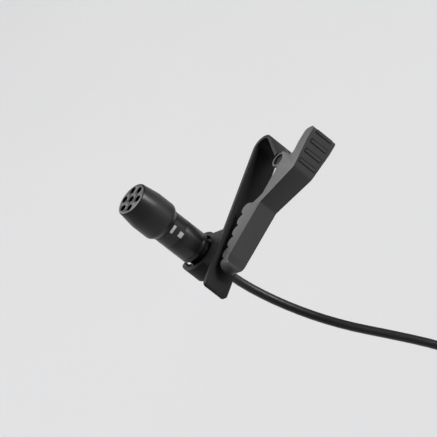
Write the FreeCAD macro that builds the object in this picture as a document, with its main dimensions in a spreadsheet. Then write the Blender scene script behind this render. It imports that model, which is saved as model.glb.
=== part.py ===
import FreeCAD, Part
import Sketcher
import math
import os
import re

# Lavalier microphone on its spring clip, in millimetres, as it is worn: the microphone
# points up (+Z), the clip's long axis is X with the thumb pad at the +X end, and the
# microphone lies on the +Y side of the clip's plate. The origin is on the plate's inner
# face, half way across its width, right behind the microphone's axis, where the teeth
# grip the garment.

doc = FreeCAD.newDocument("lavalier_microphone")

# ---------------------------------------------------------------- driving dimensions

DIMENSIONS = [
    ("clearance", 0.05, "radial running clearance of everything that turns"),
    ("plate_width", 7.0, "width of the clip's plate along Z"),
    ("plate_thickness", 0.9, "wall of the plate, its bend and its flange"),
    ("plate_below", 12.0, "plate edge to microphone axis, jaw end"),
    ("plate_above", 31.45, "top of the bend to microphone axis"),
    ("plate_corner", 1.0, "rounding of the plate's two jaw end corners"),
    ("bend_radius", 3.15, "outer radius of the curled-over top"),
    ("pivot_along", 21.3, "hinge pin to microphone axis along the clip"),
    ("pivot_depth", 11.3, "hinge pin to the plate's inner face"),
    ("pin_radius", 1.1, "hinge pin"),
    ("pin_length", 5.9, "hinge pin, end to end"),
    ("knuckle_radius", 1.95, "the plate's two hinge knuckles"),
    ("knuckle_gap", 2.1, "free width between the knuckles for the spring's coil"),
    ("knuckle_width", 0.65, "width of one knuckle"),
    ("spring_wire", 0.4, "diameter of the torsion spring's wire"),
    ("spring_turns", 4.0, "whole turns of the torsion spring"),
    ("spring_leg", 5.8, "length of each leg of the torsion spring"),
    ("side_play", 0.1, "free space on each side of the knuckles in the lever's slot"),
    ("jaw_width", 5.3, "width of the toothed end of the lever"),
    ("waist_width", 6.0, "width of the lever at the foot of the thumb pad"),
    ("pad_width", 7.3, "width of the thumb pad"),
    ("ear_radius", 2.0, "rounded hinge ears of the lever"),
    ("hinge_room", 0.3, "free space round the ears and knuckles"),
    ("tooth_count", 6.0, "rounded teeth of the lever"),
    ("tooth_start", 10.9, "hinge end of the row of teeth to microphone axis"),
    ("nose_length", 0.6, "end of the jaw beyond the last tooth"),
    ("tooth_pitch", 3.15, "tooth to tooth"),
    ("tooth_radius", 1.55, "rounding of one tooth"),
    ("tooth_height", 1.3, "teeth above the floor between them"),
    ("tooth_gap", 1.3, "first tooth to the plate with the clip closed"),
    ("tooth_slope", 5.4, "angle of the row of teeth against the plate"),
    ("jaw_back_slope", 18.4, "angle of the jaw's outer face against the plate"),
    ("crease_along", 9.9, "crease on the lever's outer face to microphone axis"),
    ("crease_depth", 9.2, "that crease to the plate's inner face"),
    ("heel_along", 17.1, "foot of the thumb pad to microphone axis"),
    ("heel_depth", 18.4, "foot of the thumb pad to the plate's inner face"),
    ("pad_end_along", 27.9, "free end of the thumb pad to microphone axis"),
    ("pad_end_depth", 22.3, "free end of the thumb pad to the plate's inner face"),
    ("lever_wall", 1.4, "wall of the lever's facet and thumb pad"),
    ("skirt_wall", 1.2, "side walls of the hollow under the thumb pad"),
    ("ear_proud", 0.25, "hinge ears beyond the lever's waist, each side"),
    ("pin_set_back", 0.3, "pin's ends above the floor of the recesses round them"),
    ("sink_step", 0.45, "recess round each end of the pin"),
    ("slot_start", 13.0, "jaw end of the lever's slot to microphone axis"),
    ("grip_ribs", 4.0, "ribs on the thumb pad"),
    ("grip_pitch", 2.7, "rib to rib on the thumb pad"),
    ("grip_length", 4.85, "length of one rib"),
    ("grip_width", 0.75, "width of one rib"),
    ("grip_height", 0.2, "ribs above the thumb pad's face"),
    ("grip_start", 1.9, "foot of the thumb pad to the first rib"),
    ("groove_width", 0.2, "groove round each rib"),
    ("groove_depth", 0.25, "depth of that groove"),
    ("mic_offset", 8.0, "microphone axis to the plate's inner face"),
    ("holder_wall", 1.9, "wall of the C-shaped holder ring"),
    ("holder_front", 3.5, "front face of the holder ring"),
    ("holder_width", 4.7, "width of the holder ring along the microphone"),
    ("holder_mouth", 64.0, "angle of the holder's open mouth"),
    ("lip_setback", 6.0, "angle of each rounded lip behind the mouth's edge"),
    ("recess_width", 0.85, "width of the recess in the holder's front face"),
    ("recess_depth", 1.2, "depth of that recess"),
    ("foot_width", 8.6, "width of the block that joins holder and plate"),
    ("head_step", 0.9, "the head's widest part outside the barrel"),
    ("face_step", 0.65, "the head's widest part outside its front face"),
    ("mic_top", 25.5, "front face above the plate's middle"),
    ("head_taper", 4.6, "length of the conical front of the head"),
    ("head_length", 9.4, "front face to the start of the shoulder"),
    ("shoulder_length", 1.45, "rounded shoulder behind the head"),
    ("face_thickness", 0.7, "front wall with the sound holes"),
    ("sound_hole_radius", 0.88, "one sound hole"),
    ("mesh_thickness", 0.15, "woven mesh behind the sound holes"),
    ("felt_thickness", 0.5, "acoustic felt behind the mesh"),
    ("sound_circle_radius", 2.85, "circle of the outer six sound holes"),
    ("barrel_radius", 4.1, "outside of the barrel"),
    ("barrel_wall", 0.8, "wall of the barrel"),
    ("spigot_step", 0.35, "the barrel's outside to its spigot in the head"),
    ("band_length", 3.45, "label band on the barrel"),
    ("band_depth", 0.25, "thickness of the label band"),
    ("barrel_end", 4.55, "rear rim of the barrel above the plate's middle"),
    ("seam", 0.15, "fine gap beside the label band and beside the holder"),
    ("rear_wall", 1.05, "rim of the end cap behind the barrel"),
    ("rear_spigot", 2.2, "end cap's spigot inside the barrel"),
    ("neck_undercut", 0.25, "groove between neck and barrel"),
    ("spigot_length", 2.8, "barrel spigot inside the head"),
    ("neck_radius", 3.6, "neck that turns in the holder"),
    ("collar_step", 0.35, "collar behind the holder, outside the neck"),
    ("collar_width", 1.2, "collar behind the holder, along the axis"),
    ("capsule_radius", 3.0, "electret capsule"),
    ("capsule_length", 3.3, "electret capsule"),
    ("capsule_wall", 0.2, "wall of the capsule's can"),
    ("capsule_hole", 0.9, "radius of the can's own sound hole"),
    ("capsule_gap", 0.2, "air between felt and capsule"),
    ("relief_radius", 2.4, "front of the rubber strain relief"),
    ("relief_end_wall", 0.4, "wall at the rear of the strain relief"),
    ("relief_length", 4.8, "strain relief outside the collar"),
    ("relief_step", 0.6, "shoulder that holds the strain relief in the collar"),
    ("relief_seat_depth", 0.9, "depth of its seat in the collar"),
    ("clamp_wall", 0.55, "crimped clamp on the cable"),
    ("clamp_length", 1.8, "crimped clamp on the cable"),
    ("filter_length", 4.6, "filter board"),
    ("board_thickness", 0.8, "filter board"),
    ("lead_length", 2.4, "leads between capsule and filter board"),
    ("core_radius", 0.25, "one insulated core of the cable"),
    ("core_pitch", 0.75, "core to core"),
    ("cord_radius", 1.1, "cable jacket"),
    ("cord_length", 1200.0, "whole cable, collar to plug"),
    ("coil_radius", 12.0, "middle of the coiled cable's bundle"),
    ("bundle_radius", 5.1, "section of the coiled bundle"),
    ("tie_width", 3.0, "hook and loop tie round the bundle"),
    ("tie_thickness", 0.8, "hook and loop tie"),
    ("boot_length", 9.0, "rubber boot of the plug"),
    ("boot_radius", 2.9, "rubber boot where it meets the plug's handle"),
    ("handle_length", 18.0, "knurled metal handle of the plug"),
    ("handle_radius", 4.0, "handle of the plug"),
    ("jack_radius", 1.75, "3.5 mm plug, half its diameter"),
    ("sleeve_length", 7.6, "sleeve contact of the plug"),
    ("ring_length", 2.2, "ring contact of the plug"),
    ("tip_length", 3.4, "tip contact of the plug"),
    ("insulator_length", 0.4, "each insulating ring of the plug"),
]

# Sizes that follow from others, so that what fits together stays together.
FOLLOWING = {
    "holder_radius": "neck_radius + holder_wall",
    "holder_recess": "neck_radius + recess_width",
    "collar_radius": "neck_radius + collar_step",
    "barrel_bore": "barrel_radius - barrel_wall",
    "head_bore": "barrel_radius - spigot_step",
    "head_radius": "barrel_radius + head_step",
    "face_radius": "barrel_radius + head_step - face_step",
    "relief_end_radius": "cord_radius + relief_end_wall",
    "slot_width": "knuckle_gap + 2 * knuckle_width + 2 * side_play",
    "bend_along": "plate_above - bend_radius",
    "bend_depth": "bend_radius - plate_thickness",
    "bend_rise": "pivot_depth - bend_depth",
    "bend_run": "bend_along - pivot_along",
    "bend_middle": "bend_radius - plate_thickness / 2",
    "flange_angle": "(atan2(bend_rise; bend_run)"
                    " - asin(bend_middle / sqrt(bend_rise ^ 2 + bend_run ^ 2))) / 1 deg",
}

sheet = doc.addObject("Spreadsheet::Sheet", "Dims")
sheet.Label = "driving dimensions"
for row, (alias, size, note) in enumerate(DIMENSIONS, start=1):
    sheet.set(f"A{row}", note)
    sheet.set(f"B{row}", str(size))
    sheet.setAlias(f"B{row}", alias)
doc.recompute()
ALIASES = {alias for alias, size, note in DIMENSIONS}


def dim(alias):
    """The number in one cell of the sheet."""
    return float(sheet.get(alias))


def linked(formula):
    """A formula in the sheet's words, as an expression that names the sheet."""
    return re.sub(r"[a-z_]+", lambda word: tie_word(word.group()), str(formula))


def tie_word(word):
    if word in FOLLOWING:
        return f"({linked(FOLLOWING[word])})"
    return "Dims." + word if word in ALIASES else word


def bind(feature, **formulas):
    """Tie properties of a feature to the sheet; two underscores stand for a dot."""
    for name, formula in formulas.items():
        feature.setExpression(name.replace("__", "."), linked(formula))
    return feature


def place(feature, x=0, y=0, z=0, turn=0, axis=(0, 0, 1)):
    """Placement of a feature from formulas: a point and a turn about an axis."""
    feature.Placement = FreeCAD.Placement(FreeCAD.Vector(), FreeCAD.Rotation(FreeCAD.Vector(*axis), 1))
    bind(feature, Placement__Base__x=x, Placement__Base__y=y, Placement__Base__z=z)
    bind(feature, Placement__Rotation__Angle=turn)
    return feature


def primitive(kind, name, sizes, **where):
    """A Part primitive whose sizes and place come from formulas."""
    feature = doc.addObject("Part::" + kind, name)
    bind(feature, **sizes)
    return place(feature, **where)


def cylinder(name, radius, length, **where):
    """A cylinder along Z, half its length on each side of its place."""
    where["z"] = f"({where.get('z', 0)}) - ({length}) / 2"
    return primitive("Cylinder", name, {"Radius": radius, "Height": length}, **where)


def fused(name, pieces):
    feature = doc.addObject("Part::MultiFuse", name)
    feature.Shapes = pieces
    return feature


def cut(name, base, tools):
    """The base less every tool."""
    feature = doc.addObject("Part::Cut", name)
    feature.Base = base
    feature.Tool = tools[0] if len(tools) == 1 else fused(name + "_tools", tools)
    return feature


# ---------------------------------------------------------------- sketches and bodies

def outline(body, plane, name, corners):
    """A closed sketch of straight sides; each corner is two formulas from the origin."""
    sketch = body.newObject("Sketcher::SketchObject", name)
    origin_plane = [item for item in body.Origin.OriginFeatures if item.Role == plane][0]
    sketch.AttachmentSupport = [(origin_plane, "")]
    sketch.MapMode = "FlatFace"
    count = len(corners)
    start = [FreeCAD.Vector(math.cos(2 * math.pi * k / count), math.sin(2 * math.pi * k / count), 0)
             for k in range(count)]
    for k in range(count):
        sketch.addGeometry(Part.LineSegment(start[k], start[(k + 1) % count]), False)
    for k in range(count):
        sketch.addConstraint(Sketcher.Constraint("Coincident", k, 2, (k + 1) % count, 1))
    for k, corner in enumerate(corners):
        for kind, formula in zip(("DistanceX", "DistanceY"), corner):
            index = sketch.addConstraint(Sketcher.Constraint(kind, -1, 1, k, 1, 1.0))
            sketch.setExpression(f"Constraints[{index}]", linked(formula))
    doc.recompute()
    return sketch


def new_body(name):
    return doc.addObject("PartDesign::Body", name)


def turned(name, corners, **where):
    """A body turned about its Z axis from corners given as (radius, height)."""
    body = new_body(name)
    sketch = outline(body, "XZ_Plane", name + "_section", corners)
    revolution = body.newObject("PartDesign::Revolution", name + "_turned")
    revolution.Profile = sketch
    revolution.ReferenceAxis = (sketch, ["V_Axis"])
    revolution.Angle = 360
    body.Tip = revolution
    doc.recompute()
    return place(body, **where)


def on_mic(name, corners):
    """A turned body on the microphone's axis."""
    return turned(name, corners, y="mic_offset")


def tube_corners(inner, outer, low, high):
    return [(inner, low), (outer, low), (outer, high), (inner, high)]


def disc_corners(outer, low, high):
    return tube_corners(0, outer, low, high)


def extruded(name, plane, corners, depth):
    """A body padded half its depth to each side of its sketch."""
    body = new_body(name)
    sketch = outline(body, plane, name + "_outline", corners)
    pad = body.newObject("PartDesign::Pad", name + "_pad")
    pad.Profile = sketch
    pad.SideType = "Symmetric"
    bind(pad, Length=depth)
    body.Tip = pad
    doc.recompute()
    return body, sketch


def corner_edges(body, sketch, indexes, along):
    """Names of the straight edges that run along one axis through sketch corners."""
    found = []
    place_of = sketch.Placement
    for number, edge in enumerate(body.Tip.Shape.Edges, start=1):
        if len(edge.Vertexes) != 2:
            continue
        start, end = edge.Vertexes[0].Point, edge.Vertexes[1].Point
        if (end - start).normalize().cross(FreeCAD.Vector(*along)).Length > 1e-6:
            continue
        for index in indexes:
            corner = place_of.multVec(sketch.Geometry[index].StartPoint)
            if (corner - start).cross(FreeCAD.Vector(*along)).Length < 1e-4:
                found.append(f"Edge{number}")
    return found


def round_corners(body, sketch, rounds, along):
    """Fillets on extruded corners: pairs of (corner numbers, radius formula)."""
    for indexes, radius in rounds:
        rounded = (body.Tip, corner_edges(body, sketch, indexes, along))
        fillet = body.newObject("PartDesign::Fillet", f"{body.Name}_round_{indexes[0]}")
        fillet.Base = rounded
        bind(fillet, Radius=radius)
        body.Tip = fillet
        doc.recompute()


def ring_fillet(body, radius_formula, at_radius, at_height):
    """Rounds the circular edge of a turned body at a radius and height."""
    base = body.Tip
    names = []
    for number, edge in enumerate(base.Shape.Edges, start=1):
        if not isinstance(edge.Curve, Part.Circle):
            continue
        if abs(edge.Curve.Radius - at_radius) < 1e-4 and abs(edge.Curve.Center.z - at_height) < 1e-4:
            names.append(f"Edge{number}")
    fillet = body.newObject("PartDesign::Fillet", body.Name + "_edge_round")
    fillet.Base = (base, names)
    bind(fillet, Radius=radius_formula)
    body.Tip = fillet
    doc.recompute()


nodes = []


def keep(feature, label):
    """Marks a feature as a finished sub-part; its Label names its file."""
    feature.Label = label
    nodes.append(feature)
    return feature


# ---------------------------------------------------------------- clip base
# One nylon moulding: a thin flat plate, its top curled over into a flange that slopes
# back to the hinge, and the C-shaped snap ring for the microphone on the outer face.

through = "(plate_width * 2)"
bend_x = "bend_along"
bend_y = "(-bend_depth)"
tangent_x = f"({bend_x} + bend_radius * sin(flange_angle))"
tangent_y = f"({bend_y} - bend_radius * cos(flange_angle))"
flange_run = f"(sqrt((pivot_along - {tangent_x}) ^ 2 + (pivot_depth + {tangent_y}) ^ 2) - ear_radius / 2)"
plate = extruded("clip_plate", "XY_Plane", [
    ("-plate_below", 0),
    ("-plate_below", "plate_thickness"),
    (bend_x, "plate_thickness"),
    (bend_x, 0),
], "plate_width")[0]
jaw_end_corners = [f"Edge{number}" for number, edge in enumerate(plate.Tip.Shape.Edges, start=1)
                   if edge.BoundBox.XMax < 0 and edge.BoundBox.ZLength < 0.1 * dim("plate_width")]
plate_pad = plate.Tip
plate_rounding = plate.newObject("PartDesign::Fillet", "plate_corners")
plate_rounding.Base = (plate_pad, jaw_end_corners)
bind(plate_rounding, Radius="plate_corner")
plate.Tip = plate_rounding
doc.recompute()
bend_place = {"x": bend_x, "y": bend_y, "turn": "flange_angle - 90"}
bend_outside = primitive("Cylinder", "bend_outside",
                         {"Radius": "bend_radius", "Height": "plate_width", "Angle": "180 - flange_angle"},
                         z="-plate_width / 2", **bend_place)
bend_inside = cylinder("bend_inside", "bend_radius - plate_thickness", through,
                       x=bend_x, y=bend_y)
bend = cut("bend", bend_outside, [bend_inside])
flange = primitive("Box", "flange",
                   {"Length": flange_run, "Width": "plate_thickness", "Height": "plate_width"},
                   x=f"{tangent_x} - {flange_run} * cos(flange_angle)",
                   y=f"{tangent_y} - {flange_run} * sin(flange_angle)",
                   z="-plate_width / 2", turn="flange_angle")
hook = fused("clip_hook", [plate, bend, flange])

pivot = {"x": "pivot_along", "y": "-pivot_depth"}
ear_space = "(ear_radius + hinge_room)"
ear_room = cylinder("ear_room", ear_space, through, **pivot)
knuckle_shift = "(knuckle_gap + knuckle_width) / 2"
knuckles = []
webs = []
for side, sign in (("upper", ""), ("lower", "-")):
    knuckles.append(cylinder(f"{side}_knuckle", "knuckle_radius", "knuckle_width",
                             z=f"{sign}({knuckle_shift})", **pivot))
    web = primitive("Box", f"{side}_web",
                    {"Length": f"{ear_space} + plate_thickness", "Width": "plate_thickness",
                     "Height": "knuckle_width"},
                    x="pivot_along", y="-pivot_depth - plate_thickness / 2",
                    z=f"{sign}({knuckle_shift}) - knuckle_width / 2", turn="flange_angle")
    webs.append(web)

holder_middle = "(holder_front - holder_width / 2)"
on_axis = {"y": "mic_offset", "z": holder_middle}
holder = cylinder("holder_ring", "holder_radius", "holder_width", **on_axis)
foot = primitive("Box", "holder_foot",
                 {"Length": "foot_width", "Width": "mic_offset - plate_thickness / 2",
                  "Height": "holder_width"},
                 x="-foot_width / 2", y="plate_thickness / 2", z="holder_front - holder_width")
flare = []
for side, turn in (("near", "90 - holder_mouth / 2"), ("far", "90 + holder_mouth / 2")):
    lip_turn = f"({turn} {'-' if side == 'near' else '+'} lip_setback)"
    flare.append(cylinder(f"{side}_lip", "(holder_radius - neck_radius) / 2", "holder_width",
                          x=f"(holder_radius + neck_radius) / 2 * cos({lip_turn})",
                          y=f"mic_offset + (holder_radius + neck_radius) / 2 * sin({lip_turn})",
                          z=holder_middle))
grip_bore = cylinder("holder_bore", "neck_radius + clearance", "holder_width * 2", **on_axis)
recess = primitive("Cylinder", "holder_front_recess",
                   {"Radius": "holder_recess", "Height": "recess_depth * 2"},
                   y="mic_offset", z="holder_front - recess_depth")
mouth = primitive("Cylinder", "holder_mouth_sector",
                  {"Radius": "holder_radius * 2", "Height": "holder_width * 2", "Angle": "holder_mouth"},
                  y="mic_offset", z="holder_front - holder_width * 1.5", turn="90 - holder_mouth / 2")
open_ring = cut("open_ring", fused("ring_on_foot", [holder, foot]), [mouth])
trimmed_hook = cut("trimmed_hook", hook, [ear_room])
clip_solid = fused("clip_solid", [trimmed_hook, open_ring] + flare + knuckles + webs)
pin_hole = cylinder("pin_hole", "pin_radius", through, **pivot)
keep(cut("clip_base", clip_solid, [grip_bore, recess, pin_hole]), "clip_base")

# ---------------------------------------------------------------- clip lever
# One nylon moulding: a rounded toothed jaw, a crease where the outer face kicks out, and
# a thumb pad with ribs. It is the side profile and the front outline in common.

tip_x = "(tooth_start - tooth_pitch * (tooth_count - 1) - tooth_radius - nose_length)"
facet_angle = "atan2(heel_depth - crease_depth; heel_along - crease_along)"
pad_angle = "atan2(pad_end_depth - heel_depth; pad_end_along - heel_along)"
half_fold = f"(({facet_angle} - {pad_angle}) / 2)"
heel_middle = f"(({facet_angle} + {pad_angle}) / 2)"
tooth_floor = f"(-tooth_gap - tooth_height - (tooth_start - {tip_x}) * tan(tooth_slope))"
nose_top = "(-tooth_gap - tooth_height + nose_length / 2)"
# Inner corners of the walls along the facet and the pad: at the slot's start, at the
# heel and at the pad's free end.
slot_corner = ("slot_start",
               f"-crease_depth - (slot_start - crease_along) * tan({facet_angle})"
               f" + lever_wall / cos({facet_angle})")
heel_corner = (f"heel_along + lever_wall / cos({half_fold}) * sin({heel_middle})",
               f"-heel_depth + lever_wall / cos({half_fold}) * cos({heel_middle})")
end_corner = ("pad_end_along - lever_wall",
              f"-pad_end_depth + lever_wall * tan({pad_angle}) + lever_wall / cos({pad_angle})")
LEVER_PROFILE = [
    (tip_x, nose_top),
    ("tooth_start", tooth_floor),
    ("tooth_start - 0.4", f"{tooth_floor} - 2.2"),
    ("crease_along + 2.4", "-crease_depth + 0.1"),
    ("pivot_along - ear_radius - 0.9", "-pivot_depth - 0.2"),
    ("pivot_along + ear_radius", "-pivot_depth - 0.9"),
    ("heel_along + 3.8", "-heel_depth + 2"),
    ("pad_end_along - 0.3", "-pad_end_depth + 3.3"),
    ("pad_end_along", "-pad_end_depth"),
    ("heel_along", "-heel_depth"),
    ("crease_along", "-crease_depth"),
    (tip_x, f"-crease_depth + (crease_along - {tip_x}) * tan(jaw_back_slope)"),
]
side, side_outline = extruded("lever_side", "XY_Plane", LEVER_PROFILE, "pad_width + 2")
round_corners(side, side_outline, [
    ([0], 0.6),
    ([11], 0.3),
    ([2, 3], 0.9),
    ([6], 1.2),
    ([7], 1.6),
    ([8], 0.9),
    ([9], 1.6),
    ([10], 1.2),
], (0, 0, 1))
LEVER_FRONT = [
    (tip_x, "jaw_width / 2"),
    ("crease_along", "jaw_width / 2"),
    ("heel_along", "waist_width / 2"),
    ("pad_end_along - pad_width / 2", "pad_width / 2"),
    ("pad_end_along + 1", "pad_width / 2"),
]
LEVER_FRONT += [(along, "-" + half_width) for along, half_width in reversed(LEVER_FRONT)]
front, front_outline = extruded("lever_front", "XZ_Plane", LEVER_FRONT, "4 * heel_depth")
round_corners(front, front_outline, [
    ([0, 9], "jaw_width / 2 - 0.05"),
    ([4, 5], 1.2),
], (0, 1, 0))
lever_blank = doc.addObject("Part::Common", "lever_blank")
lever_blank.Base = side
lever_blank.Tool = front

teeth = []
for number in range(int(dim("tooth_count"))):
    along = f"(tooth_start - tooth_radius - {number} * tooth_pitch)"
    teeth.append(cylinder(f"tooth_{number + 1}", "tooth_radius", "jaw_width", x=along,
                          y=f"-tooth_gap - tooth_radius - ({along} - {tip_x}) * tan(tooth_slope)"))
toothed = doc.addObject("Part::Common", "teeth_in_outline")
toothed.Base = fused("tooth_row", teeth)
toothed.Tool = front
open_end = "pad_end_along + lever_wall"
slot = extruded("lever_slot", "XY_Plane", [
    ("slot_start", "-crease_depth / 2"),
    slot_corner,
    heel_corner,
    end_corner,
    (open_end, "-pad_end_depth + 5"),
    (open_end, "-crease_depth / 2"),
], "slot_width")[0]
hollow = extruded("pad_hollow", "XY_Plane", [
    ("heel_along + 2.3", "-heel_depth + 2.9"),
    heel_corner,
    end_corner,
    (open_end, "-pad_end_depth + 5"),
    ("pivot_along + 2.7", "-pivot_depth - 2.7"),
], "pad_width - 2 * skirt_wall")[0]
ears = cylinder("lever_ears", "ear_radius", "waist_width + 2 * ear_proud", **pivot)
ear_slot = cylinder("ear_slot", ear_space, "slot_width", **pivot)
ear_bore = cylinder("ear_bore", "pin_radius + clearance", through, **pivot)
sinks = [cylinder(f"{name}_pin_sink", "pin_radius + sink_step", "pin_length / 2",
                  z=f"{sign}(pin_length * 3 / 4 - pin_set_back)", **pivot)
         for name, sign in (("upper", ""), ("lower", "-"))]


def pad_bar(name, run, width, length, above, below):
    """A bar across the pad, from above its face to below it, at a run from the heel."""
    return primitive("Box", name, {"Length": width, "Width": f"{above} + {below}", "Height": length},
                     x=f"heel_along + {run} * cos({pad_angle}) - {above} * sin({pad_angle})",
                     y=f"-heel_depth - {run} * sin({pad_angle}) - {above} * cos({pad_angle})",
                     z=f"-({length}) / 2", turn=f"-{pad_angle}")


ribs = []
grooves = []
for number in range(int(dim("grip_ribs"))):
    run = f"(grip_start + {number} * grip_pitch)"
    ribs.append(pad_bar(f"grip_rib_{number + 1}", run, "grip_width", "grip_length",
                        "grip_height", "lever_wall / 2"))
    grooves.append(pad_bar(f"grip_groove_{number + 1}", f"({run} - groove_width)",
                           "grip_width + 2 * groove_width", "grip_length + 2 * groove_width",
                           "lever_wall", "groove_depth"))
lever_rough = fused("lever_rough", [lever_blank, toothed, ears])
lever_cut = cut("lever_cut", lever_rough, [slot, hollow, ear_slot, ear_bore] + sinks + grooves)
keep(fused("lever_with_ribs", [lever_cut] + ribs), "clip_lever")

# ---------------------------------------------------------------- hinge pin and spring

pin = cylinder("pivot_pin", "pin_radius", "pin_length", **pivot)
keep(pin, "pivot_pin")


def torsion_spring():
    """Close-wound coil round the pin with one leg on the flange and one on the pad."""
    wire = dim("spring_wire") / 2
    pitch = 2.1 * wire
    height = pitch * dim("spring_turns")
    mean_radius = dim("pin_radius") + 0.15 + wire
    helix = Part.makeHelix(pitch, height, mean_radius)
    section = Part.Wire(Part.makeCircle(wire, FreeCAD.Vector(mean_radius, 0, 0), FreeCAD.Vector(0, 1, 0)))
    coil = Part.Wire(helix.Edges).makePipeShell([section], True, True)
    ends = []
    for level, sense in ((0, -1), (height, 1)):
        start = FreeCAD.Vector(mean_radius, 0, level)
        direction = FreeCAD.Vector(0, sense, 0)
        ends.append(Part.makeCylinder(wire, dim("spring_leg"), start, direction))
    spring = ends[0].fuse([coil, ends[1]])
    spring.translate(FreeCAD.Vector(0, 0, -height / 2))
    return spring.removeSplitter()


spring = doc.addObject("Part::Feature", "torsion_spring")
spring.Shape = torsion_spring()
place(spring, turn="flange_angle - 90", **pivot)
keep(spring, "torsion_spring")

# ---------------------------------------------------------------- microphone head
# A turned and blackened metal cap with one sound hole in the middle and six round it.

head_low = "(mic_top - head_length)"
neck_low = "(mic_top - head_length - shoulder_length)"
cap = on_mic("cap_turned", [
    (0, "mic_top - face_thickness"),
    (0, "mic_top"),
    ("face_radius", "mic_top"),
    ("head_radius", "mic_top - head_taper"),
    ("head_radius", head_low),
    ("barrel_radius + 0.02", neck_low),
    ("head_bore", neck_low),
    ("head_bore", "mic_top - face_thickness"),
])
widest = dim("barrel_radius") + dim("head_step")
ring_fillet(cap, 0.4, widest - dim("face_step"), dim("mic_top"))
ring_fillet(cap, 1.5, widest, dim("mic_top") - dim("head_length"))
hole_reach = "face_thickness * 4"
middle_hole = cylinder("middle_sound_hole", "sound_hole_radius", hole_reach, y="mic_offset", z="mic_top")
outer_holes = [cylinder(f"sound_hole_{k + 1}", "sound_hole_radius", hole_reach,
                        x=f"sound_circle_radius * cos({60 * k - 45.6})",
                        y=f"mic_offset + sound_circle_radius * sin({60 * k - 45.6})", z="mic_top")
               for k in range(6)]
keep(cut("pierced_cap", cap, [middle_hole] + outer_holes), "grille_cap")

inside_face = "(mic_top - face_thickness)"
mesh_low = f"({inside_face} - mesh_thickness)"
felt_low = f"({mesh_low} - felt_thickness)"
keep(on_mic("grille_mesh", disc_corners("head_bore", mesh_low, inside_face)), "grille_mesh")
keep(on_mic("acoustic_felt", disc_corners("head_bore", felt_low, mesh_low)), "acoustic_felt")

# ---------------------------------------------------------------- electret capsule

can_top = f"({felt_low} - capsule_gap)"
can_low = f"({can_top} - capsule_length)"
can_inner = "(capsule_radius - capsule_wall)"
can = on_mic("capsule_can_shell", [
    (0, f"{can_top} - capsule_wall"),
    (0, can_top),
    ("capsule_radius", can_top),
    ("capsule_radius", can_low),
    (can_inner, can_low),
    (can_inner, f"{can_top} - capsule_wall"),
])
can_hole = cylinder("can_sound_hole", "capsule_hole", "capsule_length / 2", y="mic_offset", z=can_top)
keep(cut("capsule_can", can, [can_hole]), "capsule_can")
level = f"({can_top} - capsule_wall)"
STACK = [
    ("diaphragm_ring", f"{can_inner} - 0.6", 0.4),
    ("diaphragm", 0, 0.06),
    ("diaphragm_spacer", f"{can_inner} - 0.5", 0.1),
    ("backplate", 0, 0.45),
    ("backplate_holder", f"{can_inner} - 0.5", 1.2),
    ("capsule_board", 0, 0.5),
]
levels = {}
for label, inner, thickness in STACK:
    lower = f"({level} - {thickness})"
    levels[label] = (lower, level)
    keep(on_mic(label + "_disc", tube_corners(inner, can_inner, lower, level)), label)
    level = lower
board_low, board_top = levels["capsule_board"]
keep(primitive("Box", "fet_chip", {"Length": 1.6, "Width": 1.3, "Height": 0.6},
               x=-0.8, y="mic_offset - 0.65", z=board_top), "fet_chip")
keep(on_mic("gasket", tube_corners("capsule_radius", "head_bore", f"{can_low} + felt_thickness",
                                    f"{can_top} - felt_thickness")),
     "capsule_gasket")

# ---------------------------------------------------------------- barrel
# A turned tube with a spigot in the head, a recess that takes the label band, and an
# end cap whose neck turns in the holder.

seat_top = "(barrel_end + rear_wall)"
band_top = f"({neck_low} - seam)"
band_low = f"({band_top} - band_length)"
keep(on_mic("barrel_tube", [
    ("barrel_bore", seat_top),
    ("barrel_radius", seat_top),
    ("barrel_radius", band_low),
    ("barrel_radius - band_depth", band_low),
    ("barrel_radius - band_depth", band_top),
    ("barrel_radius", band_top),
    ("barrel_radius", neck_low),
    ("head_bore", neck_low),
    ("head_bore", f"{neck_low} + spigot_length"),
    ("barrel_bore", f"{neck_low} + spigot_length"),
]), "barrel_shell")
keep(on_mic("band", tube_corners("barrel_radius - band_depth", "barrel_radius", band_low, band_top)),
     "label_band")

holder_rear = "(holder_front - holder_width)"
collar_top = f"({holder_rear} - seam)"
collar_low = f"({collar_top} - collar_width)"
cable_hole = "(cord_radius + clearance)"
relief_seat = "(relief_radius - relief_step)"
end_cap = on_mic("end_cap_turned", [
    (cable_hole, f"{collar_low} + relief_seat_depth"),
    (relief_seat, f"{collar_low} + relief_seat_depth"),
    (relief_seat, collar_low),
    ("collar_radius", collar_low),
    ("collar_radius", collar_top),
    ("neck_radius", collar_top),
    ("neck_radius", "holder_front - recess_depth"),
    ("neck_radius - neck_undercut", "holder_front - recess_depth"),
    ("neck_radius - neck_undercut", "barrel_end"),
    ("barrel_radius", "barrel_end"),
    ("barrel_radius", seat_top),
    ("barrel_bore", seat_top),
    ("barrel_bore", f"{seat_top} + rear_spigot"),
    (cable_hole, f"{seat_top} + rear_spigot"),
])
keep(end_cap, "end_cap")

# ---------------------------------------------------------------- inside the barrel

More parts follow.
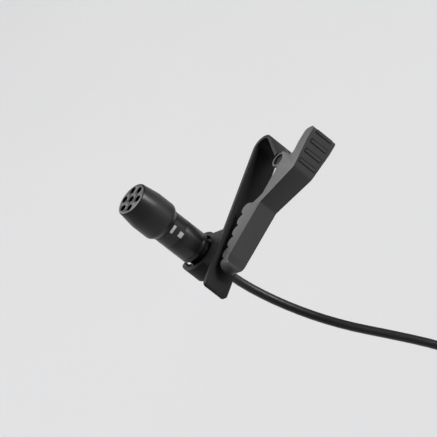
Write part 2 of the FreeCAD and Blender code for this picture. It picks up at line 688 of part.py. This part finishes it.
clamp_low = f"({seat_top} + rear_spigot)"
keep(on_mic("clamp", tube_corners("cord_radius", "cord_radius + clamp_wall",
                                  clamp_low, f"{clamp_low} + clamp_length")), "cable_clamp")
tail_top = f"({clamp_low} + clamp_length + relief_step)"
keep(on_mic("tail", disc_corners("cord_radius", collar_low, tail_top)), "inner_cable")
filter_top = f"({board_low} - lead_length)"
filter_low = f"({filter_top} - filter_length)"
filter_board = primitive("Box", "filter_board",
                         {"Length": "barrel_bore * 1.7", "Width": "board_thickness",
                          "Height": "filter_length"},
                         x="-barrel_bore * 0.85", y="mic_offset - board_thickness / 2", z=filter_low)
keep(filter_board, "filter_board")
chips = [primitive("Box", f"filter_chip_{k + 1}", {"Length": 1.2, "Width": 0.7, "Height": 0.8},
                   x=f"-1.9 + 1.3 * {k}", y="mic_offset + board_thickness / 2",
                   z=f"{filter_low} + 0.9 + 0.9 * {k % 2}")
         for k in range(3)]
keep(fused("filter_chip_group", chips), "filter_chips")
for label, low, high in (("capsule_leads", filter_top, board_low), ("cable_cores", tail_top, filter_low)):
    cores = [cylinder(f"{label}_{k + 2}", "core_radius", f"({high} - {low})",
                      x=f"{k} * core_pitch", y="mic_offset", z=f"({high} + {low}) / 2") for k in (-1, 0, 1)]
    keep(fused(label + "_group", cores), label)

relief = on_mic("relief", [
    (f"{cable_hole} + 0.2", f"{collar_low} - relief_length"),
    ("relief_end_radius", f"{collar_low} - relief_length"),
    ("relief_radius", f"{collar_low} - 1"),
    ("relief_radius", collar_low),
    (relief_seat, collar_low),
    (relief_seat, f"{collar_low} + relief_seat_depth"),
    (cable_hole, f"{collar_low} + relief_seat_depth"),
    (cable_hole, f"{collar_low} - relief_length / 2"),
])
keep(relief, "strain_relief")

# ---------------------------------------------------------------- cable
# The cable leaves the collar along the microphone's axis, bends away to -Y, turns down
# and hangs in a tied coil, with the plug hanging below it.

start_z = (dim("holder_front") - dim("holder_width") - 0.15 - dim("collar_width"))
CORD_ROUTE = [
    (0.0, dim("mic_offset"), start_z),
    (0.0, 8.0, -8.6),
    (0.0, 5.7, -17.4),
    (0.0, 1.3, -26.3),
    (0.1, -4.7, -34.4),
    (0.4, -12.1, -41.6),
    (1.1, -19.8, -50.4),
    (2.2, -25.2, -61.6),
    (3.5, -27.4, -73.6),
    (4.0, -27.4, -85.5),
]


def rounded_path(points):
    """Straight runs joined by tangent arcs, as large as the two runs allow."""
    points = [FreeCAD.Vector(*point) for point in points]
    edges = []
    last = points[0]
    for before, corner, after in zip(points, points[1:], points[2:]):
        back = (before - corner)
        ahead = (after - corner)
        shorter = min(back.Length, ahead.Length)
        half_turn = (math.pi - back.getAngle(ahead)) / 2
        reach = 0.45 * shorter
        radius = reach / math.tan(half_turn)
        back.normalize()
        ahead.normalize()
        arc_start = corner + back * reach
        arc_end = corner + ahead * reach
        middle = corner + (back + ahead).normalize() * (radius / math.cos(half_turn) - radius)
        print(f"cord arc radius {radius:.1f} mm, turn {math.degrees(2 * half_turn):.1f} degrees")
        edges.append(Part.LineSegment(last, arc_start).toShape())
        edges.append(Part.Arc(arc_start, middle, arc_end).toShape())
        last = arc_end
    edges.append(Part.LineSegment(last, points[-1]).toShape())
    return Part.Wire(edges)


def cord_tube(points):
    """The cable's jacket along a route, and the route's length."""
    path = rounded_path(points)
    first = FreeCAD.Vector(*points[0])
    heading = FreeCAD.Vector(*points[1]) - first
    circle = Part.makeCircle(dim("cord_radius"), first, heading)
    tube = path.makePipeShell([Part.Wire(circle)], True, True)
    expected = math.pi * dim("cord_radius") ** 2 * path.Length
    print(f"cord tube {tube.Volume:.1f} mm3, section times length {expected:.1f} mm3")
    return tube, path.Length


cord = doc.addObject("Part::Feature", "cord_run")
cord.Shape, run_length = cord_tube(CORD_ROUTE)
cord.Placement = FreeCAD.Placement()
keep(cord, "cord_run")

enter_y, enter_z = CORD_ROUTE[-1][1:]
coil_y = f"({enter_y} + coil_radius)"
coil_z = enter_z - 0.5
coil = primitive("Torus", "cord_coil", {"Radius1": "coil_radius", "Radius2": "bundle_radius"},
                 y=coil_y, z=coil_z, turn=90, axis=(0, 1, 0))
keep(coil, "cord_coil")
tie = primitive("Cylinder", "tie_outside",
                {"Radius": "bundle_radius + tie_thickness", "Height": "tie_width"},
                y=f"{coil_y} - tie_width / 2", z=f"{coil_z} + coil_radius", turn=-90, axis=(1, 0, 0))
keep(cut("cable_tie", tie, [coil]), "cable_tie")

tail_x = -4.4
tail_y = enter_y - 0.5
tail_end = coil_z - 27.0
TAIL_ROUTE = [
    (-4.0, enter_y, coil_z - 1.0),
    (tail_x, tail_y, coil_z - 14.0),
    (tail_x, tail_y, tail_end),
]
tail = doc.addObject("Part::Feature", "cord_tail")
tail.Shape, tail_length = cord_tube(TAIL_ROUTE)
tail.Placement = FreeCAD.Placement()
keep(tail, "cord_tail")
turn_length = 2 * math.pi * dim("coil_radius")
coiled = dim("cord_length") - run_length - tail_length
print(f"free cord {run_length:.1f} + {tail_length:.1f} mm, coiled {coiled:.1f} mm"
      f" = {coiled / turn_length:.2f} turns")

# ---------------------------------------------------------------- plug
# A three-pole 3.5 mm plug, hanging tip down.

plug_at = {"x": tail_x, "y": tail_y}
boot_low = f"({tail_end} - boot_length)"
handle_low = f"({boot_low} - handle_length)"
keep(turned("boot", [
    (0, tail_end),
    ("cord_radius + 0.5", tail_end),
    ("boot_radius", boot_low),
    (0, boot_low),
], **plug_at), "plug_boot")
handle = turned("handle", [
    (0, boot_low),
    ("handle_radius - 0.5", boot_low),
    ("handle_radius", f"{boot_low} - 1.5"),
    ("handle_radius", f"{handle_low} + 0.6"),
    ("handle_radius - 0.6", handle_low),
    (0, handle_low),
], **plug_at)
keep(handle, "plug_handle")
core = "(jack_radius - 1.05)"
sleeve_low = f"({handle_low} - sleeve_length)"
ring_top = f"({sleeve_low} - insulator_length)"
ring_low = f"({ring_top} - ring_length)"
tip_top = f"({ring_low} - insulator_length)"
tip_low = f"({tip_top} - tip_length)"
keep(turned("sleeve", tube_corners(core, "jack_radius", sleeve_low, handle_low), **plug_at), "plug_sleeve")
keep(turned("ring", tube_corners(core, "jack_radius", ring_low, ring_top), **plug_at), "plug_ring")
insulators = [turned(name, tube_corners(core, "jack_radius", low, high), **plug_at)
              for name, low, high in (("upper_insulator", ring_top, sleeve_low),
                                      ("lower_insulator", tip_top, ring_low))]
keep(fused("plug_insulator_group", insulators), "plug_insulators")
keep(turned("tip", [
    (0, handle_low),
    (core, handle_low),
    (core, tip_top),
    ("jack_radius", tip_top),
    ("jack_radius - 0.35", f"{tip_top} - 0.9"),
    ("jack_radius - 0.35", f"{tip_top} - 1.2"),
    ("jack_radius", f"{tip_top} - 1.7"),
    ("jack_radius * 0.35", tip_low),
    (0, tip_low),
], **plug_at), "plug_tip")

# ---------------------------------------------------------------- check and export

doc.recompute()
for item in doc.Objects:
    if "Invalid" in item.State or "Error" in item.State:
        raise RuntimeError(f"{item.Name} failed: {item.State}")
os.makedirs("parts", exist_ok=True)
for feature in nodes:
    shape = feature.Shape
    if shape.isNull() or not shape.isValid() or shape.Volume <= 0:
        raise RuntimeError(f"{feature.Label} has no valid solid")
    print(f"{feature.Label}: {len(shape.Solids)} solid(s), {shape.Volume:.2f} mm3")
for feature in nodes:
    feature.Shape.exportStep(f"parts/{feature.Label}.step")
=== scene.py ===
import bpy
import bmesh
import math
from mathutils import Matrix, Vector


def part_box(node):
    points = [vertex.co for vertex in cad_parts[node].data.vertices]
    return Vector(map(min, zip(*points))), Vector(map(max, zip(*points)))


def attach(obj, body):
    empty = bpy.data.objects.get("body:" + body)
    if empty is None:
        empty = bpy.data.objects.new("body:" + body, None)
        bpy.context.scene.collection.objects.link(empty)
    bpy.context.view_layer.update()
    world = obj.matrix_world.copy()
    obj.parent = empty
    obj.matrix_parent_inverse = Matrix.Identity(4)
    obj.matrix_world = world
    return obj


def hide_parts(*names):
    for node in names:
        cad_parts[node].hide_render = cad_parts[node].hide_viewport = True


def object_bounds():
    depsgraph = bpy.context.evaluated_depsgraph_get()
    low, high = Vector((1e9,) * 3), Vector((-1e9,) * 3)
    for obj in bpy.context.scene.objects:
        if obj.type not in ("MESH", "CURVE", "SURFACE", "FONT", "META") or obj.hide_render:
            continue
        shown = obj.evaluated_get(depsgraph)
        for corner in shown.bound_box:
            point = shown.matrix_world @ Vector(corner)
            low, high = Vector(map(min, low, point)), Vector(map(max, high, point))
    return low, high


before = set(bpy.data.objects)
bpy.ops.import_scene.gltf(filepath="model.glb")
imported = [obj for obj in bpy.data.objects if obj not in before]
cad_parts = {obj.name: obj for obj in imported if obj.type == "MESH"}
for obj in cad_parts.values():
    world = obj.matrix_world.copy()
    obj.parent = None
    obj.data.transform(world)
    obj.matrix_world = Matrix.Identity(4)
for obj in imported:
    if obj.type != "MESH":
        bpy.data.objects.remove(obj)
cad_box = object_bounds()

# ------------------------------------------------------------------ camera
# A long lens about a metre away, rolled so that the microphone points up and to the left
# and the cable runs out to the right.

MM = 0.001
SENSOR_WIDTH = 36.0
VIEW_AZIMUTH = math.radians(-36.1)
VIEW_ELEVATION = math.radians(25.3)
VIEW_ROLL = math.radians(52.0)
LOOK_AT = Vector((4.44, -1.09, 6.84)) * MM
VIEW_WIDTH = 102.5 * MM
VIEW_DISTANCE = 1.0
scene = bpy.context.scene

back = Vector((math.sin(VIEW_AZIMUTH) * math.cos(VIEW_ELEVATION),
               -math.cos(VIEW_AZIMUTH) * math.cos(VIEW_ELEVATION),
               math.sin(VIEW_ELEVATION)))
level = Vector((math.cos(VIEW_AZIMUTH), math.sin(VIEW_AZIMUTH), 0.0))
upright = back.cross(level) * math.cos(VIEW_ROLL) + level * math.sin(VIEW_ROLL)
right = upright.cross(back)
camera = bpy.data.objects.new("camera", bpy.data.cameras.new("camera"))
scene.collection.objects.link(camera)
camera.data.sensor_width = SENSOR_WIDTH
camera.data.lens = SENSOR_WIDTH * VIEW_DISTANCE / VIEW_WIDTH
camera.matrix_world = Matrix.Translation(LOOK_AT + back * VIEW_DISTANCE) @ Matrix(
    (right, upright, back)).transposed().to_4x4()
scene.camera = camera

# ------------------------------------------------------------------ cable
# One soft PVC cable, 2.2 mm thick and 1.2 m long. It leaves the microphone's collar, and
# what isn't in use is wound into a neat coil that hangs from it under a hook-and-loop tie.


def hex_colour(text):
    """An sRGB hex colour as linear red, green, blue and alpha."""
    channels = [int(text[k:k + 2], 16) / 255 for k in (1, 3, 5)]
    return [c / 12.92 if c <= 0.04045 else ((c + 0.055) / 1.055) ** 2.4 for c in channels] + [1.0]


def add_node(material, kind, inputs=(), **settings):
    """Adds one node; an input is a value, or another node's output to link."""
    node = material.node_tree.nodes.new(kind)
    for name, value in settings.items():
        setattr(node, name, value)
    for socket, value in dict(inputs).items():
        if isinstance(value, bpy.types.NodeSocket):
            material.node_tree.links.new(value, node.inputs[socket])
        else:
            node.inputs[socket].default_value = value
    return node


def new_material(name):
    """An empty node material."""
    material = bpy.data.materials.new(name)
    material.use_nodes = True
    material.node_tree.nodes.clear()
    return material


def finish_surface(material, inputs):
    """Closes a material with a Principled surface."""
    surface = add_node(material, "ShaderNodeBsdfPrincipled", inputs)
    add_node(material, "ShaderNodeOutputMaterial", {"Surface": surface.outputs[0]})
    return material


def grained(name, dark, light, grain, depth, roughness, spread=0.06, **extra):
    """A surface with fine grain: two near colours, uneven gloss and a shallow bump.
    grain is the size of one grain and depth its height, both in metres. The two colours
    drift into each other over patches of 25 grains."""
    patch = 25 * grain
    material = new_material(name)
    place = add_node(material, "ShaderNodeTexCoord").outputs["Object"]
    fine = add_node(material, "ShaderNodeTexNoise",
                    {"Vector": place, "Scale": 1 / grain, "Detail": 3.0, "Roughness": 0.6})
    broad = add_node(material, "ShaderNodeTexNoise",
                     {"Vector": place, "Scale": 1 / patch, "Detail": 2.0})
    tint = add_node(material, "ShaderNodeMix",
                    {"Factor": broad.outputs["Fac"], "A": hex_colour(dark), "B": hex_colour(light)},
                    data_type="RGBA")
    gloss = add_node(material, "ShaderNodeMapRange",
                     {"Value": fine.outputs["Fac"], "From Min": 0.3, "From Max": 0.7,
                      "To Min": roughness - spread, "To Max": roughness + spread})
    bump = add_node(material, "ShaderNodeBump",
                    {"Height": fine.outputs["Fac"], "Strength": 1.0, "Distance": depth})
    return finish_surface(material, {"Base Color": tint.outputs["Result"],
                                     "Roughness": gloss.outputs["Result"],
                                     "Normal": bump.outputs["Normal"], **extra})


def clothe(obj, material):
    """Gives a whole object one material."""
    obj.data.materials.clear()
    obj.data.materials.append(material)


# Plasticised PVC, extruded: black, a soft sheen with faint unevenness.
cable_jacket = grained("pvc_cable_jacket", "#18181a", "#202021",
                       grain=0.5 * MM, depth=0.006 * MM, roughness=0.42)

CORD_DIAMETER = 2.2 * MM
# The cable's route above and below the coil, and the coil itself, in millimetres.
ROUTE_DOWN = [
    (0.0, 8.0, -2.55), (0.0, 8.0, -8.6), (0.0, 5.7, -17.4), (0.0, 1.3, -26.3),
    (0.1, -4.7, -34.4), (0.4, -12.1, -41.6), (1.1, -19.8, -50.4), (2.2, -25.2, -61.6),
    (3.9, -27.4, -73.6),
]
ROUTE_TAIL = [(-4.4, -27.9, -100.0), (-4.4, -27.9, -113.0)]
COIL_CENTRE = Vector((0.0, -15.4, -86.0))
COIL_RADIUS = 12.0
TURN_POINTS = 16
# The curve passes a little inside its points, so they stand this much further out.
POINT_EASE = 1.012
# Where the cable lies in the bundle, turn after turn: out from the coil's middle circle
# and to the side, in rows of three, four, four and three.
STRAND = 2.25
ROW = 2.15
slots = [(-STRAND, 1.5 * ROW), (0.0, 1.5 * ROW), (STRAND, 1.5 * ROW)]
slots += [((1.5 - k) * STRAND, 0.5 * ROW) for k in range(4)]
slots += [((k - 1.5) * STRAND, -0.5 * ROW) for k in range(4)]
slots += [(STRAND, -1.5 * ROW), (0.0, -1.5 * ROW), (-STRAND, -1.5 * ROW)]
coil_points = []
for step in range(1, TURN_POINTS * len(slots)):
    turn, part = divmod(step, TURN_POINTS)
    here, after = slots[turn], slots[min(turn + 1, len(slots) - 1)]
    share = part / TURN_POINTS
    out = here[0] + (after[0] - here[0]) * share
    aside = here[1] + (after[1] - here[1]) * share
    angle = math.pi + 2 * math.pi * step / TURN_POINTS
    reach = (COIL_RADIUS + out) * POINT_EASE
    offset = Vector((aside, reach * math.cos(angle), reach * math.sin(angle)))
    coil_points.append(tuple(COIL_CENTRE + offset))
cord_points = ROUTE_DOWN + coil_points + ROUTE_TAIL

cord_curve = bpy.data.curves.new("cable", "CURVE")
cord_curve.dimensions = "3D"
cord_curve.bevel_depth = CORD_DIAMETER / 2
cord_curve.bevel_resolution = 3
cord_curve.resolution_u = 3
cord_curve.use_fill_caps = True
spline = cord_curve.splines.new("NURBS")
spline.points.add(len(cord_points) - 1)
for point, place in zip(spline.points, cord_points):
    point.co = (*(Vector(place) * MM), 1.0)
spline.order_u = 3
spline.use_endpoint_u = True
cable = bpy.data.objects.new("cable", cord_curve)
scene.collection.objects.link(cable)
clothe(cable, cable_jacket)
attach(cable, "microphone")
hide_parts("cord_run", "cord_coil", "cord_tail")

# ------------------------------------------------------------------ microphone head
# The head is a turned brass cap with a satin black coating: a flat face pierced by seven
# sound holes, a long cone, and a rounded shoulder behind it.

MERGE_DISTANCE = 0.002 * MM
FLAT_ANGLE = math.radians(1.5)
TURNED_EDGE = math.radians(32.0)
ROUNDING_STEPS = 3


def placed(name, shape):
    """Links a new object made from a bmesh, and frees the bmesh."""
    mesh = bpy.data.meshes.new(name)
    shape.to_mesh(mesh)
    shape.free()
    obj = bpy.data.objects.new(name, mesh)
    scene.collection.objects.link(obj)
    return obj


def softened(name, node, body, material, width, edge_angle):
    """A finer copy of a CAD node: merged, its flat faces joined, and every edge that turns
    by more than edge_angle rounded."""
    shape = bmesh.new()
    shape.from_mesh(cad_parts[node].data)
    bmesh.ops.remove_doubles(shape, verts=shape.verts, dist=MERGE_DISTANCE)
    bmesh.ops.dissolve_limit(shape, angle_limit=FLAT_ANGLE, verts=shape.verts, edges=shape.edges)
    piece = placed(name, shape)
    rounding = piece.modifiers.new("rounded_edges", "BEVEL")
    rounding.width = width
    rounding.segments = ROUNDING_STEPS
    rounding.limit_method = "ANGLE"
    rounding.angle_limit = edge_angle
    rounding.harden_normals = True
    for face in piece.data.polygons:
        face.use_smooth = True
    clothe(piece, material)
    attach(piece, body)
    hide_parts(node)


# Satin black coating on turned brass: nearly black, an even soft sheen, faint fine grain.
satin_black = grained("satin_black_coating", "#121213", "#171718",
                      grain=0.25 * MM, depth=0.003 * MM, roughness=0.36, spread=0.05)
softened("head_cap", "grille_cap", "microphone", satin_black,
         width=0.12 * MM, edge_angle=TURNED_EDGE)

# ------------------------------------------------------------------ barrel and end cap
# A turned tube with a recessed label band; its end cap turns in the clip's ring. All are
# coated like the head.

for piece_name, node in (("barrel_tube", "barrel_shell"), ("end_cap_turned", "end_cap")):
    softened(piece_name, node, "microphone", satin_black,
             width=0.1 * MM, edge_angle=TURNED_EDGE)

# ------------------------------------------------------------------ band marks
# The label band is coated like the barrel. It carries two plain pad-printed marks in
# white ink: a short bar and a small block.

clothe(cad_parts["label_band"], satin_black)
band_low, band_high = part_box("label_band")
BAND_AXIS_Y = (band_high.y + band_low.y) / 2
INK_THICKNESS = 0.012 * MM
INK_RADIUS = (band_high.x - band_low.x) / 2 + INK_THICKNESS
STRIPS_ROUND = 12
STRIPS_ALONG = 2
# Pad-printing ink: matte white, thin in places.
white_ink = grained("pad_printed_white_ink", "#a9a9a8", "#d0d0cf",
                    grain=0.12 * MM, depth=0.004 * MM, roughness=0.6)


def printed_mark(name, degrees, along, width, height):
    """A patch of ink wrapped on the band, its middle at an angle from +X and at a height
    along the microphone; width runs round the band and height along it."""
    shape = bmesh.new()
    bmesh.ops.create_grid(shape, x_segments=STRIPS_ROUND, y_segments=STRIPS_ALONG, size=0.5)
    bmesh.ops.scale(shape, vec=(width, height, 1.0), verts=shape.verts)
    for vert in shape.verts:
        angle = math.radians(degrees) + vert.co.x / INK_RADIUS
        vert.co = Vector((INK_RADIUS * math.cos(angle),
                          BAND_AXIS_Y + INK_RADIUS * math.sin(angle),
                          along + vert.co.y))
    mark = placed(name, shape)
    clothe(mark, white_ink)
    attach(mark, "microphone")


printed_mark("printed_bar", degrees=-120.0, along=14.0 * MM, width=2.1 * MM, height=0.7 * MM)
printed_mark("printed_block", degrees=-119.5, along=11.6 * MM, width=1.4 * MM, height=1.15 * MM)

# ------------------------------------------------------------------ clip plate and ring
# One thin nylon moulding: plate, curled top, hinge knuckles and the snap ring that grips
# the microphone. Glass-filled, and drawn nearly black, much darker than the lever.

MOULDED_EDGE = math.radians(24.0)
MOULDED_ROUNDING = 0.14 * MM
# Glass-filled nylon, moulded: a fine spark-eroded grain that leaves it almost matte.
black_nylon = grained("moulded_black_nylon", "#0c0c0c", "#121211",
                      grain=0.3 * MM, depth=0.012 * MM, roughness=0.55,
                      **{"Specular IOR Level": 0.22})
softened("clip_plate_and_ring", "clip_base", "clip", black_nylon,
         width=MOULDED_ROUNDING, edge_angle=MOULDED_EDGE)

# ------------------------------------------------------------------ clip lever
# A second nylon moulding, drawn a lighter grey than the plate: a toothed jaw and a ribbed
# thumb pad in one piece, which swings on the steel pin.

# Glass-filled nylon, moulded: drawn dark grey, with the same fine spark-eroded grain.
grey_nylon = grained("moulded_dark_grey_nylon", "#333334", "#3a3a3b",
                     grain=0.3 * MM, depth=0.014 * MM, roughness=0.5,
                     **{"Specular IOR Level": 0.35})
softened("clip_jaw_lever", "clip_lever", "lever", grey_nylon,
         width=MOULDED_ROUNDING, edge_angle=MOULDED_EDGE)

# ------------------------------------------------------------------ hinge pin and spring
# The pin is steel, pressed into the knuckles, drawn near black: painted shade of the dark bore it
# sits in. The torsion spring round it is drawn steel wire, left bright.

# Steel drawn near black as painted shade of the pin's bore: dark metal with a low, even gloss.
shade_dark_pin_steel = grained("pin_steel_in_painted_shade", "#1c1c1e", "#28282a",
                      grain=0.2 * MM, depth=0.002 * MM, roughness=0.4, Metallic=1.0)
clothe(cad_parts["pivot_pin"], shade_dark_pin_steel)
# Drawn spring wire: bright grey metal, a little uneven.
spring_wire = grained("drawn_spring_steel", "#8e8e90", "#a0a0a3",
                      grain=0.2 * MM, depth=0.002 * MM, roughness=0.3, Metallic=1.0)
clothe(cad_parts["torsion_spring"], spring_wire)

# ------------------------------------------------------------------ behind the sound holes
# A dark woven steel mesh lies against the inside of the face, with a disc of black
# acoustic felt behind it.

# A wave texture of scale 1 repeats every 0.314 units.
WAVE_REPEAT = 0.314


def woven(name, pitch, dark, light):
    """Plain-woven wire: two sets of rounded bands that cross, pitch metres apart."""
    material = new_material(name)
    place = add_node(material, "ShaderNodeTexCoord").outputs["Object"]
    heights = []
    for direction in ("X", "Y"):
        band = add_node(material, "ShaderNodeTexWave", {"Vector": place, "Scale": WAVE_REPEAT / pitch},
                        wave_type="BANDS", bands_direction=direction)
        heights.append(band.outputs["Fac"])
    weave = add_node(material, "ShaderNodeMath", {0: heights[0], 1: heights[1]}, operation="MAXIMUM")
    tint = add_node(material, "ShaderNodeMix",
                    {"Factor": weave.outputs[0], "A": hex_colour(dark), "B": hex_colour(light)},
                    data_type="RGBA")
    bump = add_node(material, "ShaderNodeBump",
                    {"Height": weave.outputs[0], "Strength": 1.0, "Distance": pitch / 4})
    return finish_surface(material, {"Base Color": tint.outputs["Result"], "Roughness": 0.45,
                                     "Metallic": 0.8, "Normal": bump.outputs["Normal"]})


# Blackened steel gauze. Its real mesh of 0.1 mm is too fine to show, so it is drawn at 0.3 mm.
gauze = woven("blackened_steel_gauze", 0.3 * MM, "#060606", "#2a2a2b")
clothe(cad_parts["grille_mesh"], gauze)
# Pressed acoustic felt: black fibres, no gloss.
felt = grained("pressed_black_felt", "#0b0b0b", "#141414",
               grain=0.3 * MM, depth=0.06 * MM, roughness=0.9)
clothe(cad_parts["acoustic_felt"], felt)

# ------------------------------------------------------------------ capsule and inner parts
# The electret capsule and what the barrel holds: all hidden when the microphone is
# assembled, each in the finish of its own kind.

# Plain aluminium can, drawn: pale metal, soft gloss.
aluminium = grained("drawn_aluminium", "#b9babd", "#c7c8ca",
                    grain=0.2 * MM, depth=0.002 * MM, roughness=0.32, Metallic=1.0)
# Turned brass: warm metal, soft gloss.
brass = grained("turned_brass", "#b59a5a", "#c6ab69",
                grain=0.2 * MM, depth=0.002 * MM, roughness=0.3, Metallic=1.0)
# Moulded acetal: white, smooth, a low gloss.
white_plastic = grained("moulded_white_acetal", "#d9d8d3", "#e4e3df",
                        grain=0.3 * MM, depth=0.002 * MM, roughness=0.45)
# Stretched metallised polymer film: smooth and bright.
film = grained("metallised_film", "#a5a49e", "#b3b2ac",
               grain=0.5 * MM, depth=0.001 * MM, roughness=0.2, spread=0.04, Metallic=0.7)
# Green solder mask over glass-epoxy board.
board = grained("solder_masked_board", "#12452b", "#185434",
                grain=0.4 * MM, depth=0.003 * MM, roughness=0.35)
# Moulded epoxy of small chips: black, matte.
chip_epoxy = grained("moulded_chip_epoxy", "#161617", "#1e1e1f",
                     grain=0.2 * MM, depth=0.003 * MM, roughness=0.6)
# Red-brown PVC insulation of thin wires.
wire_skin = grained("pvc_wire_insulation", "#7a2a22", "#8b3329",
                    grain=0.3 * MM, depth=0.002 * MM, roughness=0.4)
# Moulded black rubber: soft, dull, fine bloom.
rubber = grained("moulded_rubber", "#121213", "#171718",
                 grain=0.4 * MM, depth=0.004 * MM, roughness=0.55)
INNER = {
    aluminium: ("capsule_can", "cable_clamp"),
    brass: ("diaphragm_ring", "backplate"),
    white_plastic: ("diaphragm_spacer", "backplate_holder", "plug_insulators"),
    film: ("diaphragm",),
    board: ("capsule_board", "filter_board"),
    chip_epoxy: ("fet_chip", "filter_chips"),
    wire_skin: ("capsule_leads", "cable_cores"),
    rubber: ("capsule_gasket", "strain_relief", "plug_boot"),
    cable_jacket: ("inner_cable",),
}
for material, names in INNER.items():
    for name in names:
        clothe(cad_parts[name], material)

# ------------------------------------------------------------------ cable tie
# A strip of hook-and-loop tape, wrapped once round the coiled cable: woven nylon with a
# short dense pile.

# Nylon loop pile: black, dull, a coarse soft surface.
pile = grained("nylon_loop_pile", "#0f0f10", "#1e1e20",
               grain=0.45 * MM, depth=0.12 * MM, roughness=0.85)
clothe(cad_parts["cable_tie"], pile)

# ------------------------------------------------------------------ plug
# A 3.5 mm plug: its contacts are nickel-plated brass, and its handle is turned brass,
# knurled for the fingers and blackened like the microphone.

# Nickel plate: bright, faintly warm, smooth.
nickel = grained("nickel_plate", "#c9c6c0", "#d3d0ca",
                 grain=0.2 * MM, depth=0.001 * MM, roughness=0.2, spread=0.04, Metallic=1.0)
for name in ("plug_sleeve", "plug_ring", "plug_tip"):
    clothe(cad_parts[name], nickel)
handle_low, handle_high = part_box("plug_handle")
HANDLE_RADIUS = (handle_high.x - handle_low.x) / 2
HANDLE_LENGTH = handle_high.z - handle_low.z
HANDLE_MIDDLE = (handle_low + handle_high) / 2
KNURL_DEPTH = 0.16 * MM
KNURLS_ROUND = 40
KNURL_ROWS = 28
# The share of the handle that stays plain at each end, and how far its two rims draw in.
PLAIN_END = 0.12
RIM_STEP = 0.6 * MM
# Every other point of the barrel's grid is sunk, so that its facets meet in small pyramids.
shape = bmesh.new()
bmesh.ops.create_cone(shape, cap_ends=True, segments=2 * KNURLS_ROUND, radius1=HANDLE_RADIUS,
                      radius2=HANDLE_RADIUS, depth=HANDLE_LENGTH)
sides = [edge for edge in shape.edges
         if abs(edge.verts[0].co.z - edge.verts[1].co.z) > HANDLE_LENGTH / 2]
bmesh.ops.subdivide_edges(shape, edges=sides, cuts=KNURL_ROWS)
for vert in shape.verts:
    share = vert.co.z / HANDLE_LENGTH + 0.5
    column = round(math.atan2(vert.co.y, vert.co.x) / math.pi * KNURLS_ROUND)
    row = round(share * (KNURL_ROWS + 1))
    sunk = 0.0
    if row in (0, KNURL_ROWS + 1):
        sunk = RIM_STEP
    elif PLAIN_END < share < 1 - PLAIN_END and (column + row) % 2:
        sunk = KNURL_DEPTH
    vert.co.x *= (HANDLE_RADIUS - sunk) / HANDLE_RADIUS
    vert.co.y *= (HANDLE_RADIUS - sunk) / HANDLE_RADIUS
bmesh.ops.translate(shape, verts=shape.verts, vec=HANDLE_MIDDLE)
bmesh.ops.recalc_face_normals(shape, faces=shape.faces)
handle = placed("knurled_handle", shape)
clothe(handle, satin_black)
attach(handle, "microphone")
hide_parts("plug_handle")

# ------------------------------------------------------------------ floor and light
# A pale paper floor well under the object, one wide lamp overhead that lights it evenly,
# a smaller key lamp from the lever's side, and two faint lamps that show the other sides.

scene.view_settings.view_transform = "Standard"
# Matte paper, pale grey.
paper = grained("pale_paper", "#a3a3a4", "#a5a5a6", grain=2 * MM, depth=0.01 * MM, roughness=0.9)
FLOOR_REACH = 6.0
FLOOR_DROP = 0.03
shape = bmesh.new()
bmesh.ops.create_grid(shape, x_segments=1, y_segments=1, size=FLOOR_REACH,
                      matrix=Matrix.Translation((0, 0, cad_box[0].z - FLOOR_DROP)))
floor = placed("floor", shape)
clothe(floor, paper)


def lamp(name, direction, distance, size, power):
    """A square soft lamp that looks at the object from one direction."""
    light = bpy.data.lights.new(name, "AREA")
    light.size = size
    light.energy = power
    obj = bpy.data.objects.new(name, light)
    scene.collection.objects.link(obj)
    heading = Vector(direction).normalized()
    obj.matrix_world = Matrix.Translation(LOOK_AT + heading * distance) @ (
        heading.to_track_quat("Z", "Y").to_matrix().to_4x4())


lamp("overhead_lamp", (0.1, 0.2, 1.0), distance=1.6, size=1.2, power=58.0)
lamp("key_lamp", (0.4, -0.95, 0.1), distance=0.9, size=0.25, power=5.0)
lamp("side_lamp", (-0.9, 0.15, 0.5), distance=0.7, size=0.35, power=0.2)
lamp("back_lamp", (0.3, 0.9, 0.5), distance=0.9, size=0.5, power=2.0)
WORLD_STRENGTH = 0.05
world = bpy.data.worlds.new("studio")
scene.world = world
world.use_nodes = True
world.node_tree.nodes["Background"].inputs["Color"].default_value = (1, 1, 1, 1)
world.node_tree.nodes["Background"].inputs["Strength"].default_value = WORLD_STRENGTH
